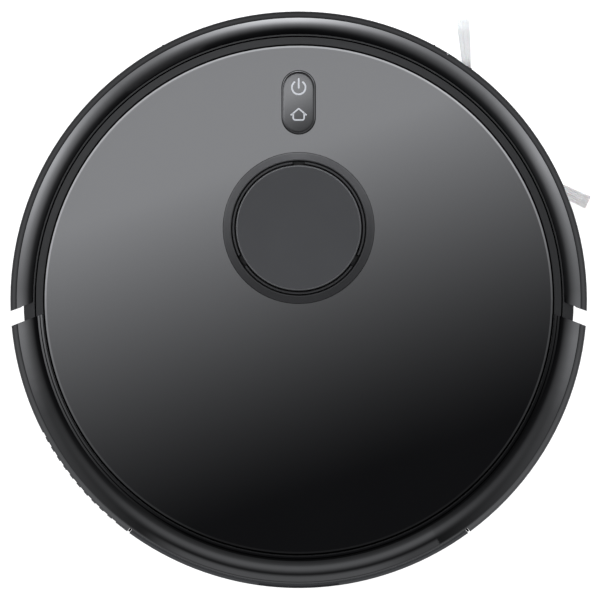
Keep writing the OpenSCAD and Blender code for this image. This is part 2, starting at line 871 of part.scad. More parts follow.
module wheel_arm(s) {
    color("#3b3d41") side(s) difference() {
        x_slab(arm_x0, arm_x1) {
            hull() {
                translate([axle_y, wheel_r]) circle(r = arm_end_r, $fn = 32);
                translate([pivot_y, wheel_r]) circle(r = 11, $fn = 32);
            }
            hull() {
                translate([pivot_y, wheel_r]) circle(r = 11, $fn = 32);
                translate(wheel_motor_yz) circle(r = 13, $fn = 32);
            }
        }
        x_rod(pin_r + fit, arm_x0 - eps, arm_x1 + eps, pivot_y, wheel_r);
        x_rod(axle_r, arm_x0 + 2, arm_x1 + eps, axle_y, wheel_r);
    }
}

// The wheel's motor and the axle that its gearbox drives
module wheel_drive(s) {
    color("silver") side(s) {
        x_rod(12, 71, arm_x0, wheel_motor_yz[0], wheel_motor_yz[1]);
        x_rod(axle_r, arm_x0 + 2, wheel_x + wheel_w - 3, axle_y, wheel_r);
    }
}

module wheel_rim(s) {
    x1 = wheel_x + wheel_w;
    spoke_holes = 5;
    color("#202124") side(s) difference() {
        union() {
            difference() {
                x_rod(rim_r, wheel_x + 1, x1 - 1, axle_y, wheel_r);
                x_rod(rim_r - 2.5, wheel_x, wheel_x + 9, axle_y, wheel_r);
                x_rod(rim_r - 2.5, x1 - 7, x1, axle_y, wheel_r);
            }
            x_rod(9, wheel_x + 0.5, x1 - 1, axle_y, wheel_r);
        }
        x_rod(axle_r + fit, wheel_x - eps, x1 - 2.5, axle_y, wheel_r);
        for (i = [0 : spoke_holes - 1]) translate([0, axle_y, wheel_r]) rotate([360 / spoke_holes * i, 0, 0])
            x_rod(4.5, wheel_x, x1 + eps, 0, 17);
    }
}

module wheel_tyre(s) {
    color("#0e0e0f") side(s) translate([wheel_x, axle_y, wheel_r]) rotate([0, 90, 0])
        rotate_extrude() polygon([
            [rim_r, 0], [wheel_r - 1.5, 0], [wheel_r, 2], [wheel_r, wheel_w - 2],
            [wheel_r - 1.5, wheel_w], [rim_r, wheel_w]
        ]);
}

module wheel_pivot_pins() {
    color("silver") for (s = [-1, 1]) side(s)
        x_rod(pin_r, arm_x0 - 5.5, arm_x1 + 4, pivot_y, wheel_r);
}

module suspension_springs() {
    arm_top = wheel_r + arm_end_r;
    color("silver") for (s = [-1, 1]) side(s) translate([spring_x, axle_y, arm_top + 0.1])
        coil_spring(4.4, 0.6, deck_under - arm_top - 0.2, 6);
}

// ---- Caster ----

module caster_yoke() {
    wheel_gap = 8;
    color("#1b1c1f") translate([0, caster_y, 0]) difference() {
        union() {
            translate([0, 0, 11]) cylinder(r = 20, h = 24);
            translate([0, 0, 34]) cylinder(r = stem_r, h = 13);
        }
        box([-wheel_gap, -30, 0], [wheel_gap, 30, 32]);
        x_rod(1.5, -30, 30, -caster_trail, caster_r);
    }
}

module caster_axle() {
    color("silver") x_rod(1.5, -16, 16, caster_y - caster_trail, caster_r);
}

module caster_wheel() {
    half_w = 7.4;
    color("#0f0f10") translate([0, caster_y - caster_trail, caster_r]) rotate([0, 90, 0]) rotate_extrude()
        polygon([
            [1.5 + fit, -half_w], [caster_r - 3, -half_w], [caster_r - 0.8, -half_w + 1],
            [caster_r, -half_w + 3], [caster_r, half_w - 3], [caster_r - 0.8, half_w - 1],
            [caster_r - 3, half_w], [1.5 + fit, half_w]
        ]);
}

// ---- Battery ----

module battery_pack() {
    low = [-pack[0] / 2, pack_y - pack[1] / 2, floor_top + 0.2];
    color("#24507c") difference() {
        translate(low) cube([pack[0], pack[1], pack[2]]);
        translate(low + [1.2, 1.2, 1.2]) cube([pack[0] - 2.4, pack[1] - 2.4, pack[2] - 2.4]);
    }
}

module battery_cells() {
    mid_z = floor_top + 0.2 + pack[2] / 2;
    half = cell_pitch / 2;
    color("#3a7d5a") for (dy = [-half, half], dz = [-half + 0.5, half - 0.5])
        x_rod((cell_d - 0.6) / 2, -cell_l / 2, cell_l / 2, pack_y + dy, mid_z + dz);
}

module battery_door() {
    color("#17181a") box([-pack[0] / 2 - 1.2, pack_y - pack[1] / 2 - 1.2, ground_gap],
                         [pack[0] / 2 + 1.2, pack_y + pack[1] / 2 + 1.2, floor_top]);
}

// ---- Underside pieces ----

module charge_contacts() {
    color("#c9ccd0") for (s = [-1, 1]) side(s)
        translate([contact_pos[0] - contact_size[0] / 2, contact_pos[1] - contact_size[1] / 2, ground_gap - 0.5])
            cube([contact_size[0], contact_size[1], 1.5]);
}

module cliff_sensors() {
    color("#3a1020") for (a = sensor_angles) sensor_box(a, ground_gap + 0.2, 19);
}

module underside_screws() {
    color("silver") for (s = [-1, 1], p = screw_places) side(s) translate([p[0], p[1], 0]) difference() {
        union() {
            translate([0, 0, ground_gap + 0.2]) cylinder(r = 3.2, h = 1.4);
            translate([0, 0, ground_gap + 1]) cylinder(r = 1.5, h = wall - 1);
        }
        translate([-2, -0.35, 0]) cube([4, 0.7, ground_gap + 0.9]);
        translate([-0.35, -2, 0]) cube([0.7, 4, ground_gap + 0.9]);
    }
}

// ---- Fan, board and speaker ----

module fan_housing() {
    color("#303236") translate([fan_pos[0], fan_pos[1], 0]) difference() {
        union() {
            translate([0, 0, floor_top]) cylinder(r = fan_r, h = 44);
            box([10, -20, floor_top], [34.5, 20, 54]);
        }
        translate([0, 0, floor_top + 4]) cylinder(r = fan_r - 2, h = 38);
        translate([0, 0, floor_top + 1]) cylinder(r = 1.5 + fit, h = 5);
        box([0, -18, floor_top + 6], [36, 18, 52]);
        rotate(exhaust_angle) box([10, -14, floor_top + 8], [fan_r + 2, 14, floor_top + 38]);
    }
}

module fan_impeller() {
    blades = 9;
    color("#5c6066") translate([fan_pos[0], fan_pos[1], 0]) {
        translate([0, 0, floor_top + 1.2]) cylinder(r = 1.5, h = 12);
        translate([0, 0, floor_top + 8]) cylinder(r = 24, h = 1.6);
        translate([0, 0, floor_top + 8]) cylinder(r = 7, h = 22);
        for (i = [0 : blades - 1]) rotate(360 / blades * i)
            translate([5, 0, floor_top + 9]) rotate(-25) cube([18, 1.2, 16]);
    }
}

module main_board() {
    color("#1c4a2c") {
        box([-28, -58, 66], [88, -8, 67.6]);
        box([0, -44, 67.6], [14, -30, 69.2]);
        box([24, -34, 67.6], [36, -22, 69.2]);
        box([50, -50, 67.6], [66, -44, 72]);
        for (x = [-10 : 14 : 46]) box([x, -14, 67.6], [x + 8, -10, 71.5]);
        for (y = [-40, -26]) translate([60, y, 67.6]) cylinder(r = 4, h = 4);
    }
}

module speaker() {
    color("#26282b") translate([speaker_pos[0], speaker_pos[1], floor_top]) {
        ring(16, 13, 14);
        cylinder(r = 13, h = 2);
        cylinder(r = 6, h = 10);
    }
}

// ---- Dustbin ----

// Outline of the dustbin's box in plan, grown inward by a wall thickness t
module bin_plan(t) {
    half = bin_w / 2;
    translate([bin_left + t, bin_back + t]) square([half - bin_left - 2 * t, bin_front - bin_back - 2 * t]);
    translate([-half + t, bin_back + t]) square([bin_w - 2 * t, bin_wing_y - bin_back - 2 * t]);
}

// A slab of the dustbin's plan, kept inside the round body
module bin_slab(t, z0, z1) {
    intersection() {
        translate([0, 0, z0]) linear_extrude(z1 - z0) bin_plan(t);
        cylinder(r = body_r - 7 - t, h = 2 * plate_top);
    }
}

// The dustbin's curved rear face, which fills the gap in the rear cover
module bin_face() {
    face_in = body_r - 7.6;
    intersection() {
        rotate_extrude() polygon([
            [face_in, bin_bottom], [body_r - 3.5, bin_bottom], [body_r - 1.7, 15], [body_r - 0.5, 20],
            [body_r, 28], [body_r, 46], [body_r - 0.4, 53], [crease_r + 2.7, 57.9],
            [crease_r + 1.6, 59], [crease_r + 1.4, bin_top], [face_in, bin_top]
        ]);
        rear_wedge(bin_half_angle, 0, plate_top);
    }
}

module latch_pocket(gap, depth) {
    box([-24 - gap, -body_r - 1, 44 - gap], [24 + gap, -body_r + depth, 56 + gap]);
}

module dustbin_body() {
    lid_z = bin_top - wall;
    filter_low = [bin_left - 1, -122, 22];
    filter_high = [bin_left + 14, -72, 58];
    color("#2a2c30") difference() {
        union() {
            bin_slab(0, bin_bottom, lid_z);
            bin_face();
        }
        difference() {
            bin_slab(2, bin_bottom + 2, lid_z + eps);
            box([-30, -200, 0], [30, -body_r + 14, 100]);
        }
        latch_pocket(0.3, 9);
        box([-duct_w / 2, bin_front - 5, 32], [duct_w / 2, bin_front + 5, 46]);
        box(filter_low, filter_high);
    }
}

module dustbin_lid() {
    color("#50545a") bin_slab(1, bin_top - wall, bin_top - 0.2);
}

// Pleated filter: a frame with folds across its opening
module dust_filter() {
    low = [bin_left, -122, 22];
    high = [bin_left + 14, -72, 58];
    pleat = 3;
    color("#e8e6e0") {
        difference() {
            box(low, high);
            box(low + [-1, 3, 3], high + [1, -3, -3]);
        }
        for (y = [low[1] + 4 : pleat : high[1] - 5])
            box([low[0] + 2, y, low[2] + 2.5], [high[0] - 2, y + 1, high[2] - 2.5]);
    }
}

module bin_latch() {
    color("#3a3c40") intersection() {
        latch_pocket(0, 5);
        cylinder(r = body_r - 0.4, h = plate_top);
    }
}

chassis();
top_housing();
top_plate();
rear_cover();
bumper();
bumper_window();
bumper_springs();
lidar_collar();
lidar_base();
lidar_cap();
lidar_rotor();
lidar_lenses();
lidar_motor();
lidar_pulley();
lidar_belt();
bearings();
button_cap();
button_icons();
button_board();
side_brush_arms();
side_brush_bristles();
side_brush_shaft();
side_brush_gearbox();
side_brush_motor();
brush_chamber();
brush_cover();
brush_core();
brush_strips();
brush_pulley();
brush_belt();
brush_motor();
brush_motor_pulley();
brush_drive_cover();
wheel_arm(-1);  // wheel_arm_left
wheel_arm(1);  // wheel_arm_right
wheel_drive(-1);  // wheel_drive_left
wheel_drive(1);  // wheel_drive_right
wheel_rim(-1);  // wheel_rim_left
wheel_rim(1);  // wheel_rim_right
wheel_tyre(-1);  // wheel_tyre_left
wheel_tyre(1);  // wheel_tyre_right
wheel_pivot_pins();
suspension_springs();
caster_yoke();
caster_wheel();
caster_axle();
battery_pack();
battery_cells();
battery_door();
charge_contacts();
cliff_sensors();
underside_screws();
fan_housing();
fan_impeller();
main_board();
dustbin_body();
dustbin_lid();
dust_filter();
bin_latch();
speaker();
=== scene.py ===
"""Looks of the robot vacuum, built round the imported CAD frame.

Units are metres. +Y is the front of the robot, +X its right, +Z is up.
"""

import json
import math
import random

import bmesh
import bpy
from mathutils import Matrix, Vector


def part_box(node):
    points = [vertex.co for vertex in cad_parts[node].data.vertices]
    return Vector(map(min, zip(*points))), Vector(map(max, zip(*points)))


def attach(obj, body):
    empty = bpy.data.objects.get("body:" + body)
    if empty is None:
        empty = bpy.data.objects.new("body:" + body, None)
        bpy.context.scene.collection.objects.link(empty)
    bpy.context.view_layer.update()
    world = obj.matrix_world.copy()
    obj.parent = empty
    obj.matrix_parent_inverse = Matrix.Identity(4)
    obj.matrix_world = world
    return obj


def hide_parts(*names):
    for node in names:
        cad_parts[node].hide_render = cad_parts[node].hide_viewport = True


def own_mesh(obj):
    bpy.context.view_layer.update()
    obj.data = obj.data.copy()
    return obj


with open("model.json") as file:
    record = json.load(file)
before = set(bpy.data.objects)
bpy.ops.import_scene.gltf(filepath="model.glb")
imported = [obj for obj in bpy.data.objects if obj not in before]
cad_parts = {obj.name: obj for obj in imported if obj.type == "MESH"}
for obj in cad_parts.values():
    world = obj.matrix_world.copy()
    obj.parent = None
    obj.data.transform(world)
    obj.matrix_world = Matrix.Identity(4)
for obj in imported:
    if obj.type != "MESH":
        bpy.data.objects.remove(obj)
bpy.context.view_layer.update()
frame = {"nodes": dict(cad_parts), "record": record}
NODES = frame["nodes"]
MM = 0.001


# ---- Frame measures ----

def centre_of(node):
    low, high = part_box(node)
    return (low + high) / 2


PLATE_LOW, PLATE_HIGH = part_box("top_plate")
PLATE_TOP = PLATE_HIGH.z
PLATE_R = (PLATE_HIGH.x - PLATE_LOW.x) / 2
CAP_LOW, CAP_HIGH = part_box("lidar_cap")
CAP_R = (CAP_HIGH.x - CAP_LOW.x) / 2
BUTTON = centre_of("button_cap")


# ---- Shader graphs ----

class Graph:
    """A node tree with short calls for the nodes that this scene uses."""

    def __init__(self, tree):
        self.tree = tree
        tree.nodes.clear()

    def node(self, kind, **inputs):
        made = self.tree.nodes.new("ShaderNode" + kind)
        for name, value in inputs.items():
            self.put(made.inputs[name.replace("_", " ")], value)
        return made

    def put(self, socket, value):
        if isinstance(value, bpy.types.NodeSocket):
            self.tree.links.new(value, socket)
        elif isinstance(value, tuple) and len(value) == 3 and socket.type == "RGBA":
            socket.default_value = (*value, 1.0)
        else:
            socket.default_value = value

    def math(self, operation, *values):
        made = self.tree.nodes.new("ShaderNodeMath")
        made.operation = operation
        for socket, value in zip(made.inputs, values):
            self.put(socket, value)
        return made.outputs[0]

    def ramp(self, factor, stops):
        """A ramp from (position, grey or colour) stops."""
        made = self.tree.nodes.new("ShaderNodeValToRGB")
        ramp = made.color_ramp
        ramp.interpolation = "LINEAR"
        while len(ramp.elements) < len(stops):
            ramp.elements.new(0.5)
        for element, (position, value) in zip(ramp.elements, stops):
            element.position = position
            element.color = (*value, 1.0) if isinstance(value, tuple) else (value, value, value, 1.0)
        self.put(made.inputs["Fac"], factor)
        return made.outputs["Color"]

    def object_space(self):
        return self.node("TexCoord").outputs["Object"]

    def noise(self, scale, detail=2.0, where=None):
        made = self.node("TexNoise", Scale=scale, Detail=detail)
        self.put(made.inputs["Vector"], where or self.object_space())
        return made.outputs["Fac"]

    def spread(self, value, low, high):
        """Maps a 0 to 1 value onto low to high."""
        made = self.node("MapRange", To_Min=low, To_Max=high)
        self.put(made.inputs["Value"], value)
        return made.outputs["Result"]

    def tint(self, factor, dark, light):
        made = self.tree.nodes.new("ShaderNodeMix")
        made.data_type = "RGBA"
        self.put(made.inputs[0], factor)
        self.put(made.inputs[6], dark)
        self.put(made.inputs[7], light)
        return made.outputs[2]

    def bump(self, height, distance, strength=1.0):
        made = self.node("Bump", Strength=strength, Distance=distance)
        self.put(made.inputs["Height"], height)
        return made.outputs["Normal"]


def material(name, **sockets):
    """A new material with one Principled shader; returns (material, graph, shader)."""
    made = bpy.data.materials.new(name)
    made.use_nodes = True
    graph = Graph(made.node_tree)
    shader = graph.node("BsdfPrincipled")
    for socket, value in sockets.items():
        graph.put(shader.inputs[socket.replace("_", " ")], value)
    graph.put(graph.node("OutputMaterial").inputs["Surface"], shader.outputs[0])
    return made, graph, shader


def scaled(colour, factor):
    return tuple(min(1.0, channel * factor) for channel in colour)


# ---- Materials ----

def plastic(name, colour, roughness, grain=0.0004, relief=0.00001, gloss=0.5, vary=0.15):
    """Moulded plastic: spark-eroded grain of a given size, with slow changes of tone and sheen."""
    made, graph, shader = material(name, Specular_IOR_Level=gloss)
    fine = graph.noise(1 / grain, 3.0)
    slow = graph.noise(35.0, 2.0)
    graph.put(shader.inputs["Base Color"],
              graph.tint(slow, scaled(colour, 1 - vary), scaled(colour, 1 + vary)))
    graph.put(shader.inputs["Roughness"], graph.spread(fine, roughness * 0.85, roughness * 1.15))
    graph.put(shader.inputs["Normal"], graph.bump(fine, relief, 0.6))
    return made


def deck_plastic(name, colour, roughness):
    """Grained plastic with painted shadow in the two gaps beside the plate and the bumper: there it turns near black
    and loses its gloss.
    """
    gloss, shadow_gap_gloss = 0.62, 0.02
    made, graph, shader = material(name, Specular_IOR_Level=gloss)
    place = graph.node("SeparateXYZ")
    graph.put(place.inputs[0], graph.object_space())
    x, y, z = place.outputs
    radius = graph.math("SQRT", graph.math("MULTIPLY_ADD", x, x, graph.math("MULTIPLY", y, y)))
    # painted shadow mask: below the plate's underside, from 2 mm inside the plate's edge to 9 mm outside it
    outside = graph.math("GREATER_THAN", radius, PLATE_R - 2 * MM)
    below = graph.math("LESS_THAN", z, PLATE_LOW.z - 0.3 * MM)
    inside = graph.math("LESS_THAN", radius, PLATE_R + 9 * MM)
    gap = graph.math("MULTIPLY", graph.math("MULTIPLY", outside, inside), below)
    fine = graph.noise(2000.0, 3.0)
    slow = graph.noise(35.0, 2.0)
    skin = graph.tint(slow, scaled(colour, 0.85), scaled(colour, 1.15))
    # painted shadow: near-black colour and almost no gloss in the gaps
    graph.put(shader.inputs["Base Color"], graph.tint(gap, skin, (0.0002, 0.0002, 0.0002)))
    graph.put(shader.inputs["Specular IOR Level"], graph.spread(gap, gloss, shadow_gap_gloss))
    graph.put(shader.inputs["Roughness"], graph.spread(fine, roughness * 0.85, roughness * 1.15))
    graph.put(shader.inputs["Normal"], graph.bump(fine, 0.00001, 0.6))
    return made


def turret_cap(name, colour):
    """Grained plastic with a burnished rim on top; the legs under the disc are black."""
    made, graph, shader = material(name, Specular_IOR_Level=0.4)
    place = graph.node("SeparateXYZ")
    graph.put(place.inputs[0], graph.object_space())
    x = graph.math("SUBTRACT", place.outputs["X"], (CAP_LOW.x + CAP_HIGH.x) / 2)
    y = graph.math("SUBTRACT", place.outputs["Y"], CAP_LOW.y + CAP_R)
    radius = graph.math("SQRT", graph.math("MULTIPLY_ADD", x, x, graph.math("MULTIPLY", y, y)))
    in_rim = graph.math("GREATER_THAN", radius, CAP_R - 0.75 * MM)
    above = graph.math("GREATER_THAN", place.outputs["Z"], CAP_HIGH.z - 0.7 * MM)
    rim = graph.math("MULTIPLY", in_rim, above)
    leg = graph.math("LESS_THAN", place.outputs["Z"], CAP_HIGH.z - 3.05 * MM)
    grain = graph.noise(2200.0, 3.0)
    slow = graph.noise(35.0, 2.0)
    skin = graph.tint(slow, scaled(colour, 0.88), scaled(colour, 1.12))
    graph.put(shader.inputs["Base Color"], graph.tint(leg, skin, (0.004, 0.004, 0.004)))
    matte = graph.spread(grain, 0.48, 0.64)
    graph.put(shader.inputs["Roughness"], graph.math("MULTIPLY", matte, graph.spread(rim, 1.0, 0.42)))
    graph.put(shader.inputs["Specular IOR Level"], graph.spread(rim, 0.4, 1.0))
    graph.put(shader.inputs["Normal"], graph.bump(grain, 0.000022, 0.6))
    return made


def lacquer(name, colour, roughness=0.04, ior=1.5):
    """High-gloss black: a polished skin with a trace of orange peel and faint polishing haze."""
    made, graph, shader = material(name, Specular_IOR_Level=1.0, IOR=ior)
    peel = graph.noise(420.0, 1.0)
    haze = graph.noise(18.0, 4.0)
    graph.put(shader.inputs["Base Color"], graph.tint(haze, scaled(colour, 0.85), scaled(colour, 1.15)))
    graph.put(shader.inputs["Roughness"], graph.spread(haze, roughness * 0.7, roughness * 1.3))
    graph.put(shader.inputs["Normal"], graph.bump(peel, 0.0000012, 0.25))
    return made


def metal(name, colour, roughness, streak=(1.0, 1.0, 1.0), relief=0.000004):
    """Turned or drawn metal: streaks run along the axis whose streak factor is small."""
    made, graph, shader = material(name, Metallic=1.0)
    mapping = graph.node("Mapping")
    graph.put(mapping.inputs["Vector"], graph.object_space())
    mapping.inputs["Scale"].default_value = streak
    streaks = graph.noise(1400.0, 3.0, mapping.outputs["Vector"])
    graph.put(shader.inputs["Base Color"], graph.tint(streaks, scaled(colour, 0.82), colour))
    graph.put(shader.inputs["Roughness"], graph.spread(streaks, roughness * 0.75, roughness * 1.25))
    graph.put(shader.inputs["Normal"], graph.bump(streaks, relief, 0.5))
    return made


def rubber(name, colour, roughness=0.75):
    """Moulded rubber: dull, slightly dusty, with a fine pebbled skin."""
    made, graph, shader = material(name, Specular_IOR_Level=0.35)
    pebble = graph.noise(3200.0, 3.0)
    dust = graph.noise(90.0, 4.0)
    graph.put(shader.inputs["Base Color"], graph.tint(dust, scaled(colour, 0.8), scaled(colour, 1.35)))
    graph.put(shader.inputs["Roughness"], graph.spread(dust, roughness * 0.85, min(1.0, roughness * 1.2)))
    graph.put(shader.inputs["Normal"], graph.bump(pebble, 0.00002, 0.7))
    return made


def filament(name, colour):
    """Nylon bristle: pale and a little translucent, streaked lighter and darker."""
    # painted light: a faint white glow (emission 0.15) makes the strands brighter than their lighting makes them
    made, graph, shader = material(name, Roughness=0.42, Specular_IOR_Level=0.4,
                                   Subsurface_Weight=0.15, Subsurface_Scale=0.001,
                                   Emission_Color=(1.0, 1.0, 1.0), Emission_Strength=0.15)
    strands = graph.noise(2600.0, 2.0)
    graph.put(shader.inputs["Base Color"], graph.tint(strands, scaled(colour, 0.68), colour))
    graph.put(shader.inputs["Normal"], graph.bump(strands, 0.00003, 0.5))
    return made


def paper(name, colour):
    """Filter paper: long random fibres in a pressed sheet."""
    made, graph, shader = material(name, Roughness=0.9, Specular_IOR_Level=0.2, Sheen_Weight=0.2)
    fibres = graph.noise(1100.0, 6.0)
    clumps = graph.noise(160.0, 3.0)
    graph.put(shader.inputs["Base Color"], graph.tint(clumps, scaled(colour, 0.85), colour))
    graph.put(shader.inputs["Normal"], graph.bump(fibres, 0.00012, 0.8))
    return made


def smoked(name, colour):
    """Smoked clear plastic of a window or a lid."""
    made, graph, shader = material(name, Specular_IOR_Level=0.8, Coat_Weight=0.3, Coat_Roughness=0.03)
    haze = graph.noise(60.0, 3.0)
    graph.put(shader.inputs["Base Color"], graph.tint(haze, scaled(colour, 0.7), colour))
    graph.put(shader.inputs["Roughness"], graph.spread(haze, 0.05, 0.12))
    return made


def circuit_board(name):
    """Solder mask over copper tracks: a fine grid of slightly raised lines."""
    made, graph, shader = material(name, Specular_IOR_Level=0.6)
    brick = graph.node("TexBrick", Scale=160.0, Mortar_Size=0.06)
    graph.put(brick.inputs["Vector"], graph.object_space())
    tracks = brick.outputs["Fac"]
    graph.put(shader.inputs["Base Color"], graph.tint(tracks, (0.008, 0.060, 0.022), (0.03, 0.16, 0.07)))
    graph.put(shader.inputs["Roughness"], graph.spread(tracks, 0.35, 0.22))
    graph.put(shader.inputs["Normal"], graph.bump(tracks, 0.00003, 0.5))
    return made


def wrap(name, colour):
    """Shrink film round the battery: glossy, with soft wrinkles."""
    made, graph, shader = material(name, Specular_IOR_Level=0.6)
    wrinkle = graph.noise(120.0, 3.0)
    graph.put(shader.inputs["Base Color"], graph.tint(wrinkle, scaled(colour, 0.8), scaled(colour, 1.1)))
    graph.put(shader.inputs["Roughness"], graph.spread(wrinkle, 0.2, 0.34))
    graph.put(shader.inputs["Normal"], graph.bump(wrinkle, 0.0002, 0.5))
    return made


def make_materials():
    blackish = (0.0016, 0.0016, 0.0019)
    return {
        "shell_black": lacquer("shell_black", (0.0008, 0.0008, 0.0010), 0.03),
        "plate_gloss": lacquer("plate_gloss", blackish, 0.05),
        "button_gloss": lacquer("button_gloss", (0.0020, 0.0020, 0.0022), 0.14, ior=1.58),
        "housing_black": deck_plastic("housing_black", (0.0040, 0.0041, 0.0045), 0.30),
        "turret_grey": turret_cap("turret_grey", (0.029, 0.0295, 0.031)),
        "collar_grey": plastic("collar_grey", (0.022, 0.022, 0.023), 0.36, 0.0005, gloss=0.5),
        "inner_black": plastic("inner_black", (0.010, 0.010, 0.011), 0.5, 0.0006, 0.00002),
        "icon_grey": plastic("icon_grey", (0.50, 0.51, 0.53), 0.5, 0.0003, vary=0.03),
        "window_dark": smoked("window_dark", (0.004, 0.003, 0.006)),
        "steel": metal("steel", (0.58, 0.59, 0.60), 0.3, (1.0, 1.0, 0.06)),
        "contact_metal": metal("contact_metal", (0.78, 0.76, 0.70), 0.18, (0.05, 1.0, 1.0)),
        "pulley_white": plastic("pulley_white", (0.62, 0.61, 0.57), 0.45, 0.0004, vary=0.05),
        "belt_rubber": rubber("belt_rubber", (0.012, 0.012, 0.012)),
        "brush_rubber": rubber("brush_rubber", (0.011, 0.011, 0.012), 0.6),
        "bristle_white": filament("bristle_white", (0.82, 0.82, 0.82)),
        "roller_plastic": plastic("roller_plastic", (0.030, 0.032, 0.036), 0.4),
        "roller_bristle": rubber("roller_bristle", (0.045, 0.055, 0.072), 0.6),
        "rim_plastic": plastic("rim_plastic", (0.016, 0.016, 0.018), 0.4, 0.0005),
        "tyre_rubber": rubber("tyre_rubber", (0.013, 0.013, 0.013), 0.8),
        "battery_wrap": wrap("battery_wrap", (0.02, 0.09, 0.26)),
        "cell_metal": wrap("cell_metal", (0.10, 0.34, 0.18)),
        "board_green": circuit_board("board_green"),
        "impeller_grey": plastic("impeller_grey", (0.07, 0.08, 0.09), 0.35),
        "bin_grey": plastic("bin_grey", (0.016, 0.017, 0.019), 0.34, 0.0005),
        "lid_smoke": smoked("lid_smoke", (0.030, 0.032, 0.036)),
        "filter_paper": paper("filter_paper", (0.74, 0.73, 0.68)),
        "latch_grey": plastic("latch_grey", (0.030, 0.030, 0.033), 0.4),
    }


MATERIALS = make_materials()
SLOT_OF_NODE = {part["node"]: part["material_slot"] for part in frame["record"]["subparts"]}


def dress_cad_nodes():
    for name, node in NODES.items():
        look = MATERIALS[SLOT_OF_NODE[name]]
        if not node.material_slots:
            node.data.materials.append(look)
        for held in node.material_slots:
            held.material = look


# ---- Mesh helpers ----

def add_piece(name, points, faces, slot, body, smooth=True, replaces=()):
    """A mesh piece that rides on a body and may stand for CAD nodes."""
    mesh = bpy.data.meshes.new(name)
    mesh.from_pydata([tuple(p) for p in points], [], faces)
    mesh.validate()
    made = bmesh.new()
    made.from_mesh(mesh)
    bmesh.ops.recalc_face_normals(made, faces=made.faces)
    made.to_mesh(mesh)
    made.free()
    mesh.shade_smooth() if smooth else mesh.shade_flat()
    mesh.materials.append(MATERIALS[slot])
    piece = bpy.data.objects.new(name, mesh)
    bpy.context.scene.collection.objects.link(piece)
    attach(piece, body)
    if replaces:
        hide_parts(*replaces)
    return piece


def join_rings(faces, start, rings, size):
    """Adds the side faces between closed rings of points that follow each other in a list."""
    for ring in range(rings - 1):
        a = start + ring * size
        faces += [(a + i, a + (i + 1) % size, a + size + (i + 1) % size, a + size + i) for i in range(size)]


def tube(points, faces, path, radii, sides):
    """Adds a tapered closed tube along a path to lists of points and faces."""
    start = len(points)
    along = (path[-1] - path[0]).normalized()
    across = along.orthogonal().normalized()
    other = along.cross(across)
    for centre, radius in zip(path, radii):
        for i in range(sides):
            turn = 2 * math.pi * i / sides
            points.append(centre + radius * (math.cos(turn) * across + math.sin(turn) * other))
    join_rings(faces, start, len(path), sides)
    faces.append(tuple(start + i for i in reversed(range(sides))))
    last = start + (len(path) - 1) * sides
    faces.append(tuple(last + i for i in range(sides)))


# ---- Button: a crowned pill with two icons that follow its crown ----

PILL_W = 20.1 * MM
PILL_L = (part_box("button_cap")[1].y - BUTTON.y) * 2
PILL_TOP = PLATE_TOP + 1.3 * MM
CROWN_APEX = (-5 * MM, 14 * MM)
CROWN_R = (0.28, 0.35)
PILL_EDGE = 0.7 * MM


def pill_height(x, y):
    """Height of the crowned pill at a place measured from the button's centre."""
    straight = (PILL_L - PILL_W) / 2
    inset = PILL_W / 2 - math.hypot(x, max(0.0, abs(y) - straight))
    crown = (x - CROWN_APEX[0]) ** 2 / (2 * CROWN_R[0]) + (y - CROWN_APEX[1]) ** 2 / (2 * CROWN_R[1])
    edge = max(0.0, 1 - inset / PILL_EDGE)
    return PILL_TOP - crown - PILL_EDGE * (1 - math.sqrt(max(0.0, 1 - edge * edge)))


def make_button():
    """Rings of a stadium outline, each 0.03 to 1 mm inside the last, filled across in the middle."""
    straight = (PILL_L - PILL_W) / 2
    arc, side = 14, 20
    rows = [(math.pi / 2 * (1 - (k + 0.5) / arc), straight) for k in range(arc)]
    rows += [(0.0, straight * (1 - 2 * k / side)) for k in range(side + 1)]
    rows += [(-math.pi / 2 * (k + 0.5) / arc, -straight) for k in range(arc)]
    count = len(rows)
    rings = [PILL_W / 2 - inset * PILL_EDGE for inset in (0.0, 0.03, 0.12, 0.27, 0.48, 0.7, 1.0)]
    rings += [PILL_W / 2 * k / 10 for k in range(8, 0, -1)]

    def outline(radius):
        right = [Vector((radius * math.cos(turn), end + radius * math.sin(turn))) for turn, end in rows]
        return right + [Vector((-p.x, p.y)) for p in reversed(right)]

    points = [Vector((p.x, p.y, PLATE_TOP - 3.2 * MM)) for p in outline(rings[0])]
    for radius in rings:
        points += [Vector((p.x, p.y, pill_height(p.x, p.y))) for p in outline(radius)]
    around = 2 * count
    faces = [tuple(range(around))]
    for ring in range(len(rings)):
        low = ring * around
        for i in range(around):
            j = (i + 1) % around
            faces.append((low + i, low + around + i, low + around + j, low + j))
    top = len(rings) * around
    faces += [(top + i, top + around - 1 - i, top + around - 2 - i, top + i + 1) for i in range(count - 1)]
    points = [p + Vector((BUTTON.x, BUTTON.y, 0)) for p in points]
    add_piece("button_pill", points, faces, "button_gloss", "button", replaces=["button_cap"])


def ribbon(points, faces, path, width, closed):
    """Adds a flat strip that follows the pill's crown and stands 0.03 mm proud of it."""
    count = len(path)
    start = len(points)
    for i, here in enumerate(path):
        before = path[i - 1] if closed or i > 0 else here
        after = path[(i + 1) % count] if closed or i < count - 1 else here
        step = (after - before).normalized()
        side = Vector((-step.y, step.x)) * width / 2
        for across in (side, -side):
            place = here + across
            top = pill_height(place.x, place.y) + 0.03 * MM
            for z in (top, top - 0.12 * MM):
                points.append(Vector((place.x + BUTTON.x, place.y + BUTTON.y, z)))
    for i in range(count if closed else count - 1):
        a, b = start + 4 * i, start + 4 * ((i + 1) % count)
        faces += [(a, a + 2, b + 2, b), (a + 1, b + 1, b + 3, a + 3),
                  (a, b, b + 1, a + 1), (a + 2, a + 3, b + 3, b + 2)]
    if not closed:
        end = start + 4 * (count - 1)
        faces += [(start, start + 1, start + 3, start + 2), (end, end + 2, end + 3, end + 1)]


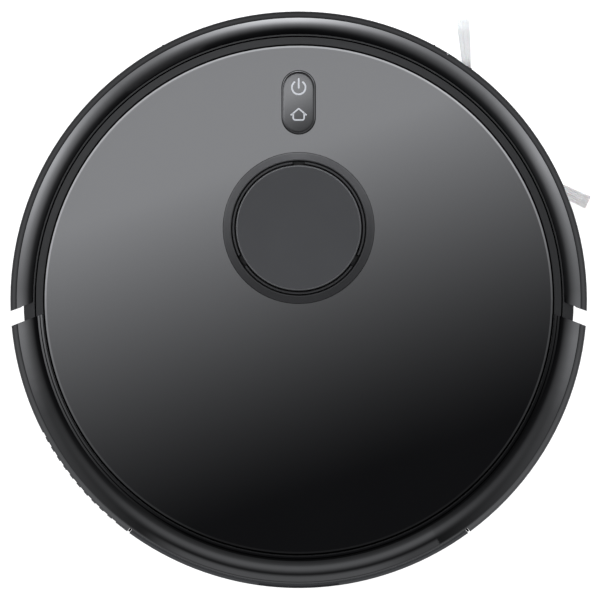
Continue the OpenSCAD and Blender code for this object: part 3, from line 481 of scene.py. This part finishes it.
def fine_path(corners, closed, step=0.5 * MM):
    """Splits a polyline into short steps, so that it can bend with a surface."""
    path = []
    pairs = list(zip(corners, corners[1:] + corners[:1] if closed else corners[1:]))
    for a, b in pairs:
        parts = max(1, round((b - a).length / step))
        path += [a.lerp(b, k / parts) for k in range(parts)]
    if not closed:
        path.append(corners[-1])
    return path


def rounded(corners, radius, arc_steps=5):
    """A closed polyline whose listed (corner, is_round) pairs are rounded where asked."""
    path = []
    count = len(corners)
    for i, (corner, is_round) in enumerate(corners):
        if not is_round:
            path.append(corner)
            continue
        before, after = corners[i - 1][0], corners[(i + 1) % count][0]
        start = corner + (before - corner).normalized() * radius
        end = corner + (after - corner).normalized() * radius
        for k in range(arc_steps + 1):
            t = k / arc_steps
            path.append(start * (1 - t) ** 2 + corner * 2 * t * (1 - t) + end * t * t)
    return path


def make_icons():
    points, faces = [], []
    stroke = 1.0 * MM
    ring_at, ring_r, gap = Vector((0, 9.0 * MM)), 4.1 * MM, math.radians(32)
    turns = [math.pi / 2 + gap + (2 * math.pi - 2 * gap) * k / 40 for k in range(41)]
    arc = [ring_at + ring_r * Vector((math.cos(t), math.sin(t))) for t in turns]
    ribbon(points, faces, arc, stroke, False)
    bar = [ring_at + Vector((0, -0.6 * MM)), ring_at + Vector((0, 5.6 * MM))]
    ribbon(points, faces, fine_path(bar, False), stroke, False)

    apex, eave, drop = Vector((0, -3.7 * MM)), 4.8 * MM, 4.1 * MM
    roof = [apex + Vector((-eave, -drop)), apex, apex + Vector((eave, -drop))]
    ribbon(points, faces, fine_path(roof, False), stroke * 0.9, False)
    half, top, bottom = 3.3 * MM, -6.6 * MM, -10.6 * MM
    walls = rounded([(Vector((-half, top)), False), (Vector((-half, bottom)), True),
                     (Vector((half, bottom)), True), (Vector((half, top)), False)], 1.3 * MM)
    ribbon(points, faces, fine_path(walls, False), stroke * 0.9, False)
    add_piece("button_icon_marks", points, faces, "icon_grey", "button", smooth=False,
              replaces=["button_icons"])


# ---- Side brush bristles ----

def make_side_bristles():
    """Three bundles of nylon strands that fan out from the arm tips."""
    chance = random.Random(5)
    hub = centre_of("side_brush_shaft")
    arm_z = 6.6 * MM
    slope = math.radians(4)
    start, reach = 46.5 * MM, 78.6 * MM
    strands = 190
    arm_angles = (94.3, -25.8, 214.3)
    points, faces = [], []
    for angle in arm_angles:
        turn = Matrix.Rotation(math.radians(angle), 3, "Z")
        dip = Matrix.Rotation(slope, 3, "Y")
        for _ in range(strands):
            seat = chance.uniform(-1, 1)
            root_y = seat * 2.35 * MM
            tip_y = seat * 3.95 * MM + chance.gauss(0, 0.2 * MM)
            root_z = chance.uniform(-0.7, 0.7) * MM
            tip_z = root_z * 1.05 + chance.gauss(0, 0.12 * MM)
            length = reach - abs(chance.gauss(0, 0.55 * MM))
            curl = chance.gauss(0, 0.25 * MM)
            path = []
            for k in range(5):
                t = k / 4
                local = Vector((start + (length - start) * t,
                                root_y + (tip_y - root_y) * t + curl * math.sin(math.pi * t),
                                root_z + (tip_z - root_z) * t))
                path.append(Vector((hub.x, hub.y, arm_z)) + turn @ (dip @ local))
            tube(points, faces, path, [0.14 * MM, 0.14 * MM, 0.14 * MM, 0.13 * MM, 0.09 * MM], 4)
    add_piece("side_brush_strands", points, faces, "bristle_white", "side_brush",
              replaces=["side_brush_bristles"])


# ---- Roller brush strips: helical rubber blades and bristle rows ----

def make_roller_strips():
    """Six helical rows: rubber blades and rows of bristle tufts by turns."""
    chance = random.Random(11)
    low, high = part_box("brush_strips")
    axis = (low + high) / 2
    core_r, tip_r = 9 * MM, (high.z - low.z) / 2
    bar_x, gap = 27 * MM, 3.4 * MM
    spans = [(low.x, -bar_x - gap), (-bar_x + gap, bar_x - gap), (bar_x + gap, high.x)]
    twist = math.radians(70) / (high.x - low.x)

    def at(x, turn, radius):
        a = turn + twist * abs(x - axis.x) * 2
        return Vector((x, axis.y + radius * math.sin(a), axis.z + radius * math.cos(a)))

    points, faces = [], []
    for row in range(6):
        turn = math.radians(60) * row
        for x0, x1 in spans:
            if row % 2:
                for k in range(int((x1 - x0) / (2.6 * MM))):
                    x = x0 + 1.3 * MM + k * 2.6 * MM
                    for _ in range(16):
                        root = at(x + chance.gauss(0, 0.3 * MM), turn + chance.gauss(0, 0.05), core_r - 0.5 * MM)
                        tip = at(x + chance.gauss(0, 0.75 * MM), turn + chance.gauss(0, 0.055),
                                 tip_r - abs(chance.gauss(0, 0.35 * MM)))
                        tube(points, faces, [root, tip], [0.13 * MM, 0.09 * MM], 4)
    add_piece("roller_tufts", points, faces, "roller_bristle", "main_brush", replaces=["brush_strips"])

    points, faces = [], []
    profile = [(core_r - 0.5 * MM, 0.13), (core_r + 1.2 * MM, 0.085), (tip_r - 1.5 * MM, 0.03),
               (tip_r - 0.3 * MM, 0.022), (tip_r - 0.1 * MM, 0.0)]
    section = profile + [(radius, -half) for radius, half in reversed(profile[:-1])]
    for row in range(0, 6, 2):
        turn = math.radians(60) * row
        for x0, x1 in spans:
            steps = max(2, round((x1 - x0) / (2 * MM)))
            start = len(points)
            for k in range(steps + 1):
                x = x0 + (x1 - x0) * k / steps
                points += [at(x, turn + half, radius) for radius, half in section]
            size = len(section)
            for k in range(steps):
                for i in range(size):
                    j = (i + 1) % size
                    a = start + k * size
                    faces.append((a + i, a + size + i, a + size + j, a + j))
            faces.append(tuple(start + i for i in range(size)))
            faces.append(tuple(start + steps * size + i for i in reversed(range(size))))
    blades = add_piece("roller_blades", points, faces, "brush_rubber", "main_brush")
    blades.data.shade_smooth()


# ---- Tyres: blocks cut by slanted grooves ----

def make_tyre(side):
    low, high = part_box(f"wheel_tyre_{side}")
    axis = (low + high) / 2
    radius = (high.z - low.z) / 2
    rim = radius - 6 * MM
    width = high.x - low.x
    lugs, per_lug = 30, 12
    around = lugs * per_lug
    groove = 1.5 * MM
    shoulder = [(0.0, rim), (0.0, radius - 2.2 * MM), (0.02, radius - 1.2 * MM), (0.07, radius - 0.25 * MM)]
    crown = [(0.11 + 0.78 * k / 12, radius) for k in range(13)]
    profile = shoulder + crown + [(1 - u, r) for u, r in reversed(shoulder)]

    def cut(u, i):
        """Depth of the tread's grooves at a place across the tyre and round it."""
        if not 0.09 < u < 0.91:
            return 0.0
        if abs(u - 0.5) < 0.035:
            return groove * 0.8
        slant = abs(u - 0.5) * 1.6
        phase = (i / per_lug + slant) % 1.0
        return groove if phase < 0.25 else 0.0

    points, faces = [], []
    for i in range(around):
        turn = 2 * math.pi * i / around
        for u, r in profile:
            reach = r - cut(u, i)
            points.append(Vector((low.x + width * u,
                                  axis.y + reach * math.cos(turn), axis.z + reach * math.sin(turn))))
    size = len(profile)
    for i in range(around):
        a, b = i * size, ((i + 1) % around) * size
        faces += [(a + k, a + k + 1, b + k + 1, b + k) for k in range(size - 1)]
        faces.append((a + size - 1, a, b, b + size - 1))
    add_piece(f"tyre_tread_{side}", points, faces, "tyre_rubber", f"wheel_{side}", smooth=False,
              replaces=[f"wheel_tyre_{side}"])


# ---- Bumper return springs ----

def make_bumper_coils():
    """Two coil springs of five turns each, fixed to the robot's root body."""
    low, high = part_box("bumper_springs")
    outer = (high.z - low.z) / 2
    wire = 0.45 * MM
    coil_r = outer - wire
    length = high.y - low.y
    turns, per_turn, sides = 5, 20, 8
    count = turns * per_turn + 1
    points, faces = [], []
    for x in (low.x + outer, high.x - outer):
        start = len(points)
        for k in range(count):
            a = 2 * math.pi * k / per_turn
            out = Vector((math.cos(a), 0.0, math.sin(a)))
            y = low.y + wire + (length - 2 * wire) * k / (count - 1)
            centre = Vector((x, y, (low.z + high.z) / 2)) + coil_r * out
            for i in range(sides):
                t = 2 * math.pi * i / sides
                points.append(centre + wire * (math.cos(t) * out + math.sin(t) * Vector((0.0, 1.0, 0.0))))
        join_rings(faces, start, count, sides)
        faces.append(tuple(start + i for i in reversed(range(sides))))
        faces.append(tuple(start + (count - 1) * sides + i for i in range(sides)))
    coils = add_piece("bumper_coils", points, faces, "steel", "root", replaces=["bumper_springs"])
    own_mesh(coils)


# ---- Dust seals in the two slits beside the dustbin's face ----

def make_bin_seals():
    """A thin rubber lip in each slit, clear of the dustbin, so that no light shows through."""
    low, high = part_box("dustbin_body")
    body_r = -low.y
    slit = math.asin(high.x / body_r) + math.radians(0.25)
    half, nose_r, root_r = 0.60 * MM, body_r - 0.6 * MM, body_r - 6.5 * MM
    levels = [(19.0, 0.5), (19.4, 0.9), (20.0, 1.0), (44.0, 1.0), (44.6, 0.9), (45.0, 0.5)]
    nose = [math.pi * k / 8 for k in range(9)]
    points, faces = [], []
    for side in (-1, 1):
        along = Vector((side * math.sin(slit), -math.cos(slit), 0.0))
        across = Vector((-along.y, along.x, 0.0))
        start = len(points)
        for z, share in levels:
            wide = half * share
            lip = [(nose_r - half + wide * math.sin(t), wide * math.cos(t)) for t in nose]
            lip += [(root_r, -wide), (root_r, wide)]
            points += [r * along + w * across + Vector((0.0, 0.0, z * MM)) for r, w in lip]
        size = len(nose) + 2
        join_rings(faces, start, len(levels), size)
        faces.append(tuple(start + i for i in range(size)))
        faces.append(tuple(start + (len(levels) - 1) * size + i for i in range(size)))
    add_piece("bin_seals", points, faces, "brush_rubber", "root", smooth=False)


# ---- Camera ----

CAMERA_HEIGHT = 12.0


def make_camera():
    """Looks straight down from far away, with the robot's front at the top of the frame."""
    data = bpy.data.cameras.new("camera")
    data.sensor_width = 36.0
    # width of the view at the height of the plate
    seen_width = 0.36302
    data.lens = data.sensor_width * (CAMERA_HEIGHT - PLATE_TOP) / seen_width
    data.clip_end = 3 * CAMERA_HEIGHT
    camera = bpy.data.objects.new("camera", data)
    camera.location = (0.0008, -0.00015, CAMERA_HEIGHT)
    bpy.context.scene.collection.objects.link(camera)
    bpy.context.scene.camera = camera


# ---- Studio ----

def linear(grey):
    """Scene-linear value of a display grey from 0 to 255."""
    value = grey / 255
    return value / 12.92 if value <= 0.04045 else ((value + 0.055) / 1.055) ** 2.4


# Reflectance of the lacquered parts straight on
LACQUER_F = 0.08


def stage_plane(name, half, z, look, outline=4):
    """A flat polygon that isn't part of the object: a square, or a disc with more corners."""
    reach = half * math.sqrt(2) if outline == 4 else half
    corners = [(reach * math.cos(2 * math.pi * (k + 0.5) / outline),
                reach * math.sin(2 * math.pi * (k + 0.5) / outline), z) for k in range(outline)]
    mesh = bpy.data.meshes.new(name)
    mesh.from_pydata(corners, [], [tuple(range(outline))])
    mesh.materials.append(look)
    plane = bpy.data.objects.new(name, mesh)
    bpy.context.scene.collection.objects.link(plane)
    return plane


def make_floor():
    """A plain white sweep. Mirror rays pass it, so the glossy sides show a dark studio below."""
    made, graph, shader = material("floor", Roughness=0.9, Emission_Strength=1.0)
    speck = graph.noise(40.0, 2.0)
    graph.put(shader.inputs["Base Color"], graph.tint(speck, (0.30, 0.30, 0.30), (0.32, 0.32, 0.32)))
    shader.inputs["Emission Color"].default_value = (1.0, 1.0, 1.0, 1.0)
    floor = stage_plane("floor", 3.0, 0.0, made)
    floor.visible_glossy = False


def make_overhead_panel():
    """A round light panel above the plate. Its brightness falls from the front to the rear,
    and the polished plate mirrors that gradient straight up."""
    height = 0.9
    reach = 1.0 + (height - PLATE_TOP) / CAMERA_HEIGHT
    darkest, brightest = 11.0, 132.0
    at_centre, per_mm_y, per_mm_x = 79.0, 0.58, -0.20
    made = bpy.data.materials.new("overhead_panel")
    made.use_nodes = True
    graph = Graph(made.node_tree)
    place = graph.node("SeparateXYZ")
    graph.put(place.inputs[0], graph.object_space())
    grey = graph.math("MULTIPLY_ADD", place.outputs["Y"], per_mm_y / MM / reach, at_centre)
    grey = graph.math("MULTIPLY_ADD", place.outputs["X"], per_mm_x / MM / reach, grey)
    share = graph.math("DIVIDE", graph.math("SUBTRACT", grey, darkest), brightest - darkest)
    steps = 16
    stops = [(k / steps, linear(darkest + (brightest - darkest) * k / steps)) for k in range(steps + 1)]
    glow = graph.node("Emission", Color=(0.975, 0.99, 1.03))
    level = graph.node("RGBToBW", Color=graph.ramp(share, stops))
    graph.put(glow.inputs["Strength"], graph.math("MULTIPLY", level.outputs[0], 1.0 / LACQUER_F))
    graph.put(graph.node("OutputMaterial").inputs["Surface"], glow.outputs[0])
    panel = stage_plane("overhead_panel", (PLATE_R + 12 * MM) * reach, height, made, outline=128)
    panel.visible_camera = False


# Light from the studio, as layers of (strength by compass direction, share by angle from straight up).
# Directions run counter-clockwise from the robot's right, in degrees; both tables are interpolated.
SKY_LAYERS = [
    # tall strip light ahead of the robot
    ([(8, 0.0), (28, 0.5), (40, 0.7), (50, 0.9), (60, 1.0), (68, 1.9), (75, 3.4), (82, 5.8), (90, 8.6), (98, 7.5),
      (105, 5.2), (112, 3.1), (120, 1.3), (130, 0.9), (140, 1.4), (150, 2.4), (160, 1.5), (170, 0.3), (176, 0.0)],
     [(20, 0.0), (25, 0.012), (30, 0.04), (35, 0.09), (40, 0.165), (46, 0.31), (52, 0.53), (58, 0.75), (65, 1.0),
      (73, 1.1), (75, 0.0)]),
    # soft boxes to the left and right
    ([(-24, 0.0), (-14, 0.8), (0, 1.3), (10, 1.8), (20, 2.4), (30, 3.3), (40, 2.3), (48, 1.5), (58, 1.1), (75, 0.8),
      (90, 0.4), (105, 0.7), (120, 1.1), (130, 1.1), (140, 1.9), (150, 2.5), (160, 2.5), (170, 2.1), (180, 1.5),
      (194, 0.8), (204, 0.0)],
     [(3, 0.0), (10, 0.05), (16, 0.12), (22, 0.24), (28, 0.39), (33, 0.52), (40, 0.68), (46, 0.8), (52, 0.89),
      (60, 0.97), (73, 1.0), (75, 0.0)]),
    # low strip behind the robot, high in the sky
    ([(182, 0.0), (200, 0.12), (225, 0.34), (240, 0.75), (255, 0.98), (270, 1.05), (285, 0.98), (300, 0.75),
      (315, 0.38), (340, 0.14), (358, 0.0)],
     [(0, 0.1), (6, 0.28), (10, 0.52), (13, 0.8), (17, 1.0), (21, 1.0), (25, 0.82), (29, 0.5), (33, 0.22), (37, 0.06),
      (41, 0.0)]),
    # wide panel behind the robot
    ([(236, 0.0), (246, 0.85), (255, 0.92), (285, 0.92), (294, 0.6), (302, 0.0)],
     [(35, 0.0), (38, 0.12), (42, 0.6), (46, 0.95), (50, 1.0), (73, 1.0), (75, 0.0)]),
    # panels behind the robot's corners
    ([(178, 0.0), (186, 1.05), (200, 0.64), (212, 0.50), (225, 0.34), (240, 0.1), (246, 0.0), (294, 0.0), (300, 0.1),
      (315, 0.34), (330, 0.55), (342, 0.8), (352, 1.1), (362, 0.0)],
     [(8, 0.0), (17, 0.24), (25, 0.42), (33, 0.64), (41, 0.86), (50, 1.0), (73, 1.0), (75, 0.0)]),
    # thin band low on the walls
    ([(0, 0.9), (10, 1.7), (20, 2.7), (34, 4.3), (52, 5.4), (70, 4.9), (90, 5.0), (112, 5.0), (150, 4.8), (172, 4.3),
      (184, 2.6), (200, 1.4), (212, 0.8), (226, 0.42), (250, 0.12), (314, 0.12), (330, 0.3), (346, 0.5), (360, 0.9)],
     [(75, 0.0), (77, 1.0), (81, 1.0), (84, 0.0)]),
    # horizon
    ([(0, 0.7), (90, 0.5), (180, 0.7), (225, 1.0), (315, 1.0), (360, 0.7)],
     [(83, 0.0), (87, 1.0), (96, 1.0), (104, 0.0)]),
    # dark studio floor
    ([(0, 0.13), (90, 0.09), (180, 0.13), (225, 0.22), (315, 0.22), (360, 0.13)],
     [(100, 0.0), (108, 1.0), (180, 1.0)]),
]


def make_sky():
    world = bpy.data.worlds.new("studio")
    bpy.context.scene.world = world
    world.use_nodes = True
    graph = Graph(world.node_tree)
    place = graph.node("SeparateXYZ")
    graph.put(place.inputs[0], graph.node("TexCoord").outputs["Generated"])
    x, y, z = place.outputs
    zenith = graph.math("MULTIPLY", graph.math("ARCCOSINE", z), 1 / math.pi)
    # the compass scale starts at the right rear, where no layer has a steep change
    start = -60
    turned = graph.math("MULTIPLY_ADD", graph.math("ARCTAN2", y, x), 0.5 / math.pi, -start / 360)
    compass = graph.math("FRACT", graph.math("ADD", turned, 1.0))
    total = None
    for by_compass, by_zenith in SKY_LAYERS:
        peak = max(level for _, level in by_compass)
        stops = sorted((((a - start) % 360) / 360, level / peak) for a, level in by_compass)
        strength = graph.ramp(compass, stops)
        share = graph.ramp(zenith, [(a / 180, level / 1.1) for a, level in by_zenith])
        layer = graph.math("MULTIPLY", graph.math("MULTIPLY", strength, share), peak * 1.1)
        total = layer if total is None else graph.math("ADD", total, layer)
    light = graph.node("Background")
    light.inputs["Color"].default_value = (0.975, 0.99, 1.03, 1.0)
    graph.put(light.inputs["Strength"], total)
    # the camera itself sees a plain pale backdrop
    backdrop = graph.node("Background", Strength=1.0)
    backdrop.inputs["Color"].default_value = (1.0, 1.0, 1.0, 1.0)
    choice = graph.node("MixShader")
    graph.put(choice.inputs[0], graph.node("LightPath").outputs["Is Camera Ray"])
    graph.put(choice.inputs[1], light.outputs[0])
    graph.put(choice.inputs[2], backdrop.outputs[0])
    graph.put(graph.node("OutputWorld").inputs["Surface"], choice.outputs[0])


def main():
    bpy.context.scene.view_settings.view_transform = "Standard"
    make_camera()
    dress_cad_nodes()
    make_button()
    make_icons()
    make_side_bristles()
    make_roller_strips()
    for side in ("left", "right"):
        make_tyre(side)
    make_bumper_coils()
    make_bin_seals()
    make_floor()
    make_overhead_panel()
    make_sky()


main()
